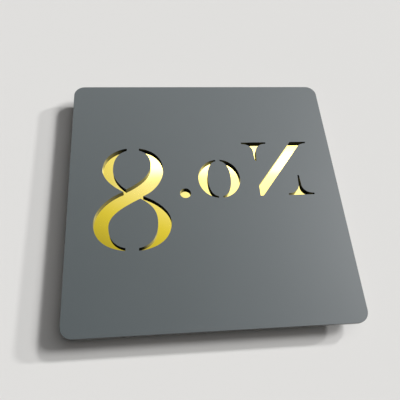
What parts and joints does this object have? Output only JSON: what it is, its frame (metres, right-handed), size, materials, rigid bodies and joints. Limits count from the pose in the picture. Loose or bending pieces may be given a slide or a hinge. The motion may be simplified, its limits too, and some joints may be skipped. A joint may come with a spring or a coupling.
{
  "type": "house number plaque",
  "caption": "Square wall plaque: a stencil house number cut through a satin grey plate over a gold mirror panel, held off the wall on round spacers with adhesive pads.",
  "frame": {"origin": "middle of the plaque in the plane of the wall, which the four pads' faces share", "axes": "+Z out of the face and away from the wall, +Y up the numeral, +X to the right as pictured"},
  "size_m": [0.2, 0.2, 0.0146],
  "materials": {
    "face": "satin",
    "mirror": "gold mirror",
    "spacer": "gloss",
    "pad": "matt foam"
  },
  "bodies": {
    "root": {"face_plate": "face", "mirror_panel": "mirror", "spacer_top_left": "spacer", "wall_pad_top_left": "pad", "spacer_top_right": "spacer", "wall_pad_top_right": "pad", "spacer_bottom_left": "spacer", "wall_pad_bottom_left": "pad", "spacer_bottom_right": "spacer", "wall_pad_bottom_right": "pad"}
  },
  "joints": []
}
